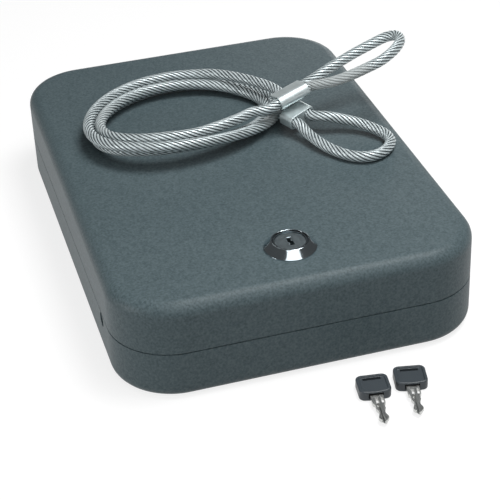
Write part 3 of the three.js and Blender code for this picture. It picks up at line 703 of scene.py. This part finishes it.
def loop_point(degrees):
    """A point of the coil: the three strands of its bundle change places once a turn."""
    angle = -math.radians(degrees)
    centre = loop_centre(angle)
    along = (loop_centre(angle + 0.001) - centre).normalized()
    outward = Vector((along.y, -along.x, 0))
    bundle = (ROPE + BUNDLE_GAP) / math.sqrt(3)
    turn = math.radians(90 + degrees / 3)
    lowest = min(math.sin(math.radians(90 + (degrees % 360) / 3 + third)) for third in (0, 120, 240))
    lift = LOOP_RISE * max(0, math.cos(angle - LOOP_RISE_AT)) ** 3
    height = ON_LID - lowest * bundle + lift + bundle * math.sin(turn)
    return centre + outward * bundle * math.cos(turn) + Vector((0, 0, height))


# %% The sleeves' bores and the whole route
def sleeve_frame(sleeve):
    start, end = metres([sleeve["from"], sleeve["to"]])
    along = (end - start).normalized()
    across = Vector(sleeve["width"])
    across = (across - along * across.dot(along)).normalized()
    return start, end, along, across


def in_bore(sleeve, side, distance):
    """A point on a bore's axis: side -1 carries the coil's end, 1 the rope's cut end."""
    start, end, along, across = sleeve_frame(sleeve)
    return start + across * side * sleeve["spacing"] * MM / 2 + along * distance


def eye_points(sleeve, points):
    start, end, along, across = sleeve_frame(sleeve)
    out = (end - start).length
    there = [in_bore(sleeve, -1, out + step) for step in (MOUTH, STRAIGHT_OUT)]
    back_in = [in_bore(sleeve, 1, out + step) for step in (STRAIGHT_OUT, MOUTH)]
    return there + metres(points) + back_in + [in_bore(sleeve, 1, -TAIL_OUT)]


route = list(reversed(eye_points(SLEEVE_A, EYE_A)))
route += [in_bore(SLEEVE_A, -1, step * MM) for step in COIL_IN_A]
route += metres(LEAD_A) + [loop_point(degrees) for degrees in COIL_DEGREES] + metres(LEAD_B)
route += [in_bore(SLEEVE_B, -1, step * MM) for step in COIL_IN_B]
route += eye_points(SLEEVE_B, EYE_B)
print("the route has", len(route), "points")


# %% [markdown]
# The tube follows a smooth curve through the route. The strands are in the shape itself: round the
# rope the radius rises and falls once for each ridge, and each ring is turned a little further than
# the one before, one whole turn in a lay length. So the edges of the mesh run along the strands like
# the wires of the real rope, and the ridges stay sharp with few faces.

# %% The rope's line
RIDGES = 9
LAY = 28 * MM
RING_STEP = 1.25 * MM
RING_POINTS = 99
GROOVE = 0.5 * MM
WIRE_GROOVE = 0.14 * MM
GROOVE_SHARPNESS, WIRE_SHARPNESS = 1.4, 3
FROSTED = [  # middle of the clouded stretch and its reach, in millimetres, and how cloudy it is
    ((60, 6.5, 77.8), 20, 1),
    ((27, 19, 56), 16, 0.9),
    ((-58, 36, 58), 20, 0.35),
]


def smooth_curve(points, steps):
    """A centripetal curve through all points, in even pieces between them."""
    ends = [points[0] * 2 - points[1]] + points + [points[-1] * 2 - points[-2]]
    curve = []
    for p0, p1, p2, p3 in zip(ends, ends[1:], ends[2:], ends[3:]):
        t1 = (p1 - p0).length ** 0.5
        t2 = t1 + (p2 - p1).length ** 0.5
        t3 = t2 + (p3 - p2).length ** 0.5
        for step in range(steps):
            t = t1 + (t2 - t1) * step / steps
            a1 = p0 * ((t1 - t) / t1) + p1 * (t / t1)
            a2 = p1 * ((t2 - t) / (t2 - t1)) + p2 * ((t - t1) / (t2 - t1))
            a3 = p2 * ((t3 - t) / (t3 - t2)) + p3 * ((t - t2) / (t3 - t2))
            b1 = a1 * ((t2 - t) / t2) + a2 * (t / t2)
            b2 = a2 * ((t3 - t) / (t3 - t1)) + a3 * ((t - t1) / (t3 - t1))
            curve.append(b1 * ((t2 - t) / (t2 - t1)) + b2 * ((t - t1) / (t2 - t1)))
    return curve + [points[-1]]


def even_steps(points, step):
    """The same line as points that are all about one step apart."""
    lengths = [0.0]
    for a, b in zip(points, points[1:]):
        lengths.append(lengths[-1] + (b - a).length)
    count = round(lengths[-1] / step)
    result, index = [], 0
    for i in range(count + 1):
        wanted = lengths[-1] * i / count
        while index < len(points) - 2 and lengths[index + 1] < wanted:
            index += 1
        share = (wanted - lengths[index]) / max(lengths[index + 1] - lengths[index], 1e-12)
        result.append(points[index].lerp(points[index + 1], min(1, share)))
    return result, lengths[-1]


rope_line, rope_length = even_steps(smooth_curve(route, 16), RING_STEP)
print("rope length", round(rope_length, 4), "m in", len(rope_line), "rings")


# %% Ridges and clouded stretches
def ridge_radius(share):
    """The rope's radius at a share of the way round it: a deep groove between two ridges, and a
    shallow one between the two wires that show on each ridge."""
    across = abs(math.sin(math.pi * RIDGES * share))
    between_wires = (1 - abs(math.sin(2 * math.pi * RIDGES * share))) ** WIRE_SHARPNESS * across
    return ROPE / 2 - GROOVE * (1 - across) ** GROOVE_SHARPNESS - WIRE_GROOVE * between_wires


def frost_by_ring():
    """How cloudy the clear skin is at each ring: full in the listed stretches, with soft ends."""
    step = rope_length / (len(rope_line) - 1)
    values = [0.0] * len(rope_line)
    for point, reach, amount in FROSTED:
        middle = min(range(len(rope_line)), key=lambda i: (rope_line[i] - Vector(point) * MM).length)
        for i in range(len(rope_line)):
            away = abs(i - middle) * step / (reach * MM)
            values[i] = max(values[i], amount * min(1, max(0, (1 - away) * 4)))
    return values


# %% The tube
def make_rope():
    verts, faces, lays = [], [], []
    radii = [ridge_radius(k / RING_POINTS) for k in range(RING_POINTS)]
    normal = Vector((0, 0, 1))
    for i, point in enumerate(rope_line):
        before = rope_line[max(i - 1, 0)]
        after = rope_line[min(i + 1, len(rope_line) - 1)]
        along = (after - before).normalized()
        normal = (normal - along * normal.dot(along)).normalized()
        side = along.cross(normal)
        distance = rope_length * i / (len(rope_line) - 1)
        for k, radius in enumerate(radii):
            angle = 2 * math.pi * (k / RING_POINTS + distance / LAY)
            verts.append(point + (normal * math.cos(angle) + side * math.sin(angle)) * radius)
    for i in range(len(rope_line) - 1):
        for k in range(RING_POINTS):
            low, high = i * RING_POINTS, (i + 1) * RING_POINTS
            nxt = (k + 1) % RING_POINTS
            faces.append((low + k, low + nxt, high + nxt, high + k))
            lays.append((i, k))
    last = (len(rope_line) - 1) * RING_POINTS
    faces.append(tuple(reversed(range(RING_POINTS))))
    faces.append(tuple(last + k for k in range(RING_POINTS)))
    mesh = bpy.data.meshes.new("cable_rope")
    mesh.from_pydata(verts, [], faces)
    layer = mesh.uv_layers.new(name="lay")
    step = rope_length / (len(rope_line) - 1)
    for face, (i, k) in zip(mesh.polygons, lays):
        corners = [(k, i), (k + 1, i), (k + 1, i + 1), (k, i + 1)]
        for loop, (around, ring) in zip(face.loop_indices, corners):
            layer.data[loop].uv = (around / RING_POINTS, ring * step)
    frost = mesh.attributes.new("frost", "FLOAT", "POINT")
    frost.data.foreach_set("value", [value for value in frost_by_ring() for _ in range(RING_POINTS)])
    mesh.polygons.foreach_set("use_smooth", [True] * len(mesh.polygons))
    mesh.update()
    rope = bpy.data.objects.new("cable_rope", mesh)
    bpy.context.collection.objects.link(rope)
    return rope


# %% [markdown]
# The finish follows the same ridges. The rope's own map runs round it and along it, and because the
# mesh itself is twisted, the number that runs round it names a ridge everywhere. A ridge is bright
# wire with a seam along its middle painted darker as shade between its two wires, a groove is
# painted dark as shade, and here and there the clear skin over both has gone cloudy.

# %% The rope's finish
# The grooves' dark tone is painted shade; the bright tone is the wire's own colour.
GROOVE_SHADE_TONE, BRIGHT_TONE = linear(84, 94, 97), linear(216, 227, 229)
CLOUDED_TONE = linear(172, 178, 178)
GROOVE_SHADE_UP_TO, BRIGHT_FROM = 0.6, 0.896
TONE_SPAN = 0.8
# The seam's darkening is painted shade between the two wires of a ridge.
SEAM_SHARPNESS, SEAM_SHADE = 6, -0.22
UNEVEN_SCALE, UNEVEN_SHARE = 420, 0.5
CLEAR_ROUGHNESS, CLOUDED_ROUGHNESS = 0.34, 0.6
CLEAR_METALLIC, CLOUDED_METALLIC = 0.25, 0.0
CLOUDED_SHARE = 0.8


# %% The finish's nodes
def make_rope_finish():
    material, tree, shader = new_material(
        "coated_rope", linear(190, 196, 197), CLEAR_ROUGHNESS, CLEAR_METALLIC)
    uv = tree.nodes.new("ShaderNodeUVMap")
    uv.uv_map = "lay"
    split = tree.nodes.new("ShaderNodeSeparateXYZ")
    tree.links.new(uv.outputs["UV"], split.inputs[0])
    turn = math_node(tree, "MULTIPLY", split.outputs["X"], math.pi * RIDGES)
    # Painted shade: the grooves between ridges and the seam along each ridge are made darker.
    ridge = math_node(tree, "ABSOLUTE", math_node(tree, "SINE", turn))
    half_turn = math_node(tree, "ABSOLUTE", math_node(tree, "COSINE", turn))
    seam_shade = math_node(tree, "POWER", math_node(tree, "SUBTRACT", 1, half_turn), SEAM_SHARPNESS)
    ridge = math_node(tree, "MULTIPLY_ADD", seam_shade, SEAM_SHADE, ridge)
    uneven = tree.nodes.new("ShaderNodeTexNoise")
    uneven.inputs["Scale"].default_value = UNEVEN_SCALE
    where = tree.nodes.new("ShaderNodeTexCoord")
    tree.links.new(where.outputs["Object"], uneven.inputs["Vector"])
    wire = math_node(tree, "MULTIPLY_ADD", uneven.outputs["Fac"], UNEVEN_SHARE, ridge)
    frost = tree.nodes.new("ShaderNodeAttribute")
    frost.attribute_name = "frost"
    tone = tree.nodes.new("ShaderNodeValToRGB")
    steps = ((GROOVE_SHADE_UP_TO, GROOVE_SHADE_TONE), (BRIGHT_FROM, BRIGHT_TONE))
    for stop, (position, colour) in zip(tone.color_ramp.elements, steps):
        stop.position = position
        stop.color = colour
    tree.links.new(math_node(tree, "MULTIPLY", wire, TONE_SPAN), tone.inputs["Fac"])
    skin = tree.nodes.new("ShaderNodeMix")
    skin.data_type = "RGBA"
    skin.inputs["B"].default_value = CLOUDED_TONE
    clouded = math_node(tree, "MULTIPLY", frost.outputs["Fac"], CLOUDED_SHARE)
    tree.links.new(clouded, skin.inputs["Factor"])
    tree.links.new(tone.outputs["Color"], skin.inputs["A"])
    tree.links.new(skin.outputs["Result"], shader.inputs["Base Color"])
    frosted = frost.outputs["Fac"]
    vary(tree, frosted, CLEAR_ROUGHNESS, CLOUDED_ROUGHNESS, shader.inputs["Roughness"], 0, 1)
    vary(tree, frosted, CLEAR_METALLIC, CLOUDED_METALLIC, shader.inputs["Metallic"], 0, 1)
    add_bump(tree, shader, uneven.outputs["Fac"], 0.25, 0.15 * MM)
    return material


rope = make_rope()
rope.data.materials.append(make_rope_finish())


# %% [markdown]
# ## The crimped sleeves
# Each sleeve is a short piece of double-bored metal that was pressed over the two legs of an eye.
# It starts as an upright box of the sleeve's size; the four long edges are rounded, the two bores
# are cut, and then it is turned into its place on the rope. The first sleeve is fully round at its
# sides, the second is flatter.

# %% Sleeves
BORE = 3 * MM


def make_sleeve(name, node, sleeve, side_rounding):
    start, end, along, across = sleeve_frame(sleeve)
    length = (end - start).length
    spacing, thickness = sleeve["spacing"] * MM, sleeve["thickness"] * MM
    piece = block(name, (spacing + thickness, thickness, length), (0, 0, length / 2))
    round_edges(piece, is_upright, side_rounding, 14)
    bpy.ops.object.mode_set(mode="OBJECT")
    for side in (-1, 1):
        centre = (side * spacing / 2, 0, length / 2)
        cut_with(piece, hole_cutter(BORE, centre, (0, 0, 1), length * 2))
    finish_edges(piece, 0.3 * MM, 3, 50)
    third = along.cross(across)
    turn = Matrix((across, third, along)).transposed().to_4x4()
    piece.matrix_world = Matrix.Translation(start) @ turn
    settle(piece, name)
    piece.data.materials.append(sleeve_metal)
    place(piece, "cable", [node])
    return piece


sleeve_a = make_sleeve("crimped_sleeve_a", "sleeve_a", SLEEVE_A, 3.6 * MM)
sleeve_b = make_sleeve("crimped_sleeve_b", "sleeve_b", SLEEVE_B, 2.6 * MM)
place(rope, "cable", ["cable_coil", "cable_eye_a", "cable_eye_b"])

# %% [markdown]
# ## The keys
# A bow is a moulded plastic block. Its upright edges get a large rounding and the rims a small one,
# then the top and bottom faces are inset and sunk, which leaves the raised rim round a bare panel.
# The slot for a key ring and the pocket that holds the blade are cut last. The bow and the blade
# are modelled once, at the origin, and each key gets its own turned copy.

# %% Bow
BOW_WIDTH, BOW_LENGTH, BOW_HEIGHT = 15 * MM, 13.6 * MM, 5 * MM
BOW_CORNER, BOW_BULGE, BOW_RIM = 2.8 * MM, 0.5 * MM, 0.65 * MM
PANEL_BORDER, PANEL_SLOPE, PANEL_DEPTH = 0.7 * MM, 0.3 * MM, 0.65 * MM
RING_SLOT = (8.4 * MM, 1.5 * MM, 3 * BOW_HEIGHT)
SLOT_FROM_END = 2.7 * MM
POCKET = (6.9 * MM, 15.6 * MM, 2.9 * MM)
POCKET_FLOOR = 1.3 * MM


def make_bow():
    near = -BOW_LENGTH / 2 + BOW_BULGE
    length = BOW_LENGTH / 2 - near
    bow = block("bow_pattern", (BOW_WIDTH, length, BOW_HEIGHT), (0, near + length / 2, BOW_HEIGHT / 2))
    round_edges(bow, is_upright, BOW_CORNER, 8)
    pick(bow, "EDGE", lambda edge: all(close(vert.co.y, near) for vert in edge.verts)
         and close(edge.verts[0].co.z, edge.verts[1].co.z))
    bpy.ops.mesh.subdivide(number_cuts=5)
    flat_half = BOW_WIDTH / 2 - BOW_CORNER
    for at, out in ((0, 1), (flat_half / 3, 8 / 9), (2 * flat_half / 3, 5 / 9)):
        pick(bow, "VERT", lambda vert: close(vert.co.y, near) and close(abs(vert.co.x), at))
        bpy.ops.transform.translate(value=(0, -BOW_BULGE * out, 0))
    for height, sign in ((BOW_HEIGHT, 1), (0, -1)):
        round_edges(bow, rim_at(height), BOW_RIM, 3)
        pick(bow, "FACE", lambda face: face.normal.z * sign > 0.99)
        bpy.ops.mesh.inset(thickness=PANEL_BORDER)
        bpy.ops.mesh.inset(thickness=PANEL_SLOPE, depth=-PANEL_DEPTH)
    bpy.ops.object.mode_set(mode="OBJECT")
    cut_with(bow, block("cutter", RING_SLOT, (0, BOW_LENGTH / 2 - SLOT_FROM_END, 0)))
    cut_with(bow, block("cutter", POCKET, (0, -BOW_LENGTH / 2, POCKET_FLOOR + POCKET[2] / 2)))
    finish_edges(bow, 0.12 * MM, 2, 40)
    bow.data.materials.append(bow_plastic)
    return bow


bow_pattern = make_bow()
print("bow has", len(bow_pattern.data.polygons), "faces")

# %% [markdown]
# A blade is stamped from sheet. Its outline is drawn as a chain of extruded points with the cuts of
# both edges, filled and given its thickness. Two small slots near the bow go right through, a groove
# runs along each side, deeper on top, and all edges are broken a little, as tumbled keys have them.

# %% Blade
BLADE_THICKNESS = 1.8 * MM
BLADE_HALF_WIDTHS = [  # distance from the bow and half the width there, in millimetres
    (-7.4, 3.0), (0, 3.0), (5.9, 2.95), (6.25, 2.35), (7.4, 2.05), (8.6, 2.1), (9.6, 2.2),
    (10.4, 1.85), (11.3, 1.4), (12.5, 1.35), (13.6, 1.55), (14.6, 2.0), (15.6, 2.3), (16.4, 2.3),
    (17.2, 1.7), (18.2, 0.95), (19.0, 0.4),
]
BLADE_SLOT = (1.3 * MM, 3.6 * MM, 30 * MM)
BLADE_SLOTS_AT, SLOTS_FROM_BOW = (-0.55, 1.95), 3.9 * MM
FLUTE_WIDTH, FLUTE_LENGTH = 1.0 * MM, 16 * MM
FLUTE_AT, FLUTE_FROM_BOW = -0.7 * MM, 6.3 * MM
FLUTE_UNDER, FLUTE_ON_TOP = 0.35 * MM, 1.1 * MM


def make_blade():
    start_fresh()
    end = -BOW_LENGTH / 2
    low = (BOW_HEIGHT - BLADE_THICKNESS) / 2
    left = [Vector((-half * MM, end - along * MM, low)) for along, half in BLADE_HALF_WIDTHS]
    outline = left + [Vector((-point.x, point.y, low)) for point in reversed(left)]
    bpy.ops.mesh.primitive_plane_add(size=1 * MM, location=outline[0], enter_editmode=True)
    blade = bpy.context.object
    bpy.ops.mesh.select_mode(type="VERT")
    bpy.ops.mesh.merge(type="CENTER")
    for before, after in zip(outline, outline[1:]):
        bpy.ops.mesh.extrude_vertices_move(TRANSFORM_OT_translate={"value": after - before})
    bpy.ops.mesh.select_all(action="SELECT")
    bpy.ops.mesh.edge_face_add()
    bpy.ops.mesh.extrude_region_move(TRANSFORM_OT_translate={"value": (0, 0, BLADE_THICKNESS)})
    bpy.ops.mesh.select_all(action="SELECT")
    bpy.ops.mesh.normals_make_consistent(inside=False)
    settle(blade, "blade_pattern")
    for x in BLADE_SLOTS_AT:
        cut_with(blade, block("cutter", BLADE_SLOT, (x * MM, end - SLOTS_FROM_BOW, 0)))
    for height, depth in ((low, FLUTE_UNDER), (low + BLADE_THICKNESS, FLUTE_ON_TOP)):
        centre = (FLUTE_AT, end - FLUTE_FROM_BOW - FLUTE_LENGTH / 2, height)
        cut_with(blade, block("cutter", (FLUTE_WIDTH, FLUTE_LENGTH, 2 * depth), centre))
    finish_edges(blade, 0.12 * MM, 2, 30)
    blade.data.materials.append(key_steel)
    return blade


blade_pattern = make_blade()
print("blade has", len(blade_pattern.data.polygons), "faces")


# %% Two keys
KEYS = {  # the middle of the bow in millimetres, and the key's turn in degrees
    "key_1": ((21.4, -150.6), -8.2),
    "key_2": ((39.7, -149.9), -12.1),
}


def copy_for(pattern, name, key, replaced):
    piece = duplicate(pattern)
    (x, y), degrees = KEYS[key]
    turn = Matrix.Rotation(math.radians(degrees), 4, "Z")
    piece.matrix_world = Matrix.Translation((x * MM, y * MM, 0)) @ turn
    settle(piece, name)
    place(piece, key, [replaced])


for key in KEYS:
    copy_for(bow_pattern, key + "_moulded_bow", key, key + "_bow")
    copy_for(blade_pattern, key + "_cut_blade", key, key + "_blade")
bpy.data.objects.remove(bow_pattern)
bpy.data.objects.remove(blade_pattern)


# %% [markdown]
# ## Foam liners
# Each half is lined with a sheet of foam. It starts as a box in the place of its solid; the four
# upright edges follow the case's corners and the rim at the shell follows its rolled edge. The free
# face sinks a little towards its middle and is soft at its rim, because cut foam relaxes.

# %% Foam
FOAM_CLEARANCE = 0.6 * MM
FOAM_EDGE = 0.8 * MM
FOAM_SINK = [(2 * MM, 0.0), (4 * MM, -0.25 * MM), (9 * MM, -0.2 * MM)]
LOCK_ROOM_RADIUS = 16 * MM


def make_liner(name, node, body, facing, roll):
    low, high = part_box(node)
    liner = block(name, high - low, (low + high) / 2)
    free, held = (high.z, low.z) if facing > 0 else (low.z, high.z)
    round_edges(liner, is_upright, CORNER_RADIUS - SHEET, 16)
    round_edges(liner, rim_at(held), roll, 5)
    round_edges(liner, rim_at(free), FOAM_EDGE, 5)
    pick(liner, "FACE", level_face_at(free))
    for inset, sink in FOAM_SINK:
        bpy.ops.mesh.inset(thickness=inset, depth=sink)
    if node == "lid_foam":
        bpy.ops.object.mode_set(mode="OBJECT")
        centre = (LOCK_AXIS.x, LOCK_AXIS.y, (low.z + high.z) / 2)
        cut_with(liner, hole_cutter(LOCK_ROOM_RADIUS, centre, (0, 0, 1), 30 * MM))
    finish_edges(liner, 0, angle=40)
    liner.data.materials.append(liner_foam)
    place(liner, body, [node])


make_liner("base_foam_liner", "base_foam", "base", 1, BASE_ROLL - SHEET - FOAM_CLEARANCE)
make_liner("lid_foam_liner", "lid_foam", "lid", -1, LID_ROLL - SHEET - FOAM_CLEARANCE)


# %% [markdown]
# ## Pieces that keep their solids
# The lock's inner pieces, the hinge with its rivets, the lip band and the strike bracket keep the
# shape of their solids and get their finish here.

# %% Finishes of the carried-over pieces
FINISHES = {
    "hinge_leaf_base": case_paint,
    "hinge_leaf_lid": case_paint,
    "lip_band": band_steel,
    "strike_bracket": band_steel,
    "lock_body": polished_steel,
}
for node in ("lock_washer", "lock_nut", "lock_cam", "cam_washer", "cam_screw", "hinge_pin"):
    FINISHES[node] = zinc_steel
for number in range(1, 6):
    FINISHES[f"wafer_{number}"] = lock_brass
for number in range(1, 5):
    FINISHES[f"rivet_base_{number}"] = zinc_steel
    FINISHES[f"rivet_lid_{number}"] = zinc_steel

for node, material in FINISHES.items():
    solid = bpy.data.objects[node]
    solid.data.materials.clear()
    solid.data.materials.append(material)
print("finished", len(FINISHES), "solids")
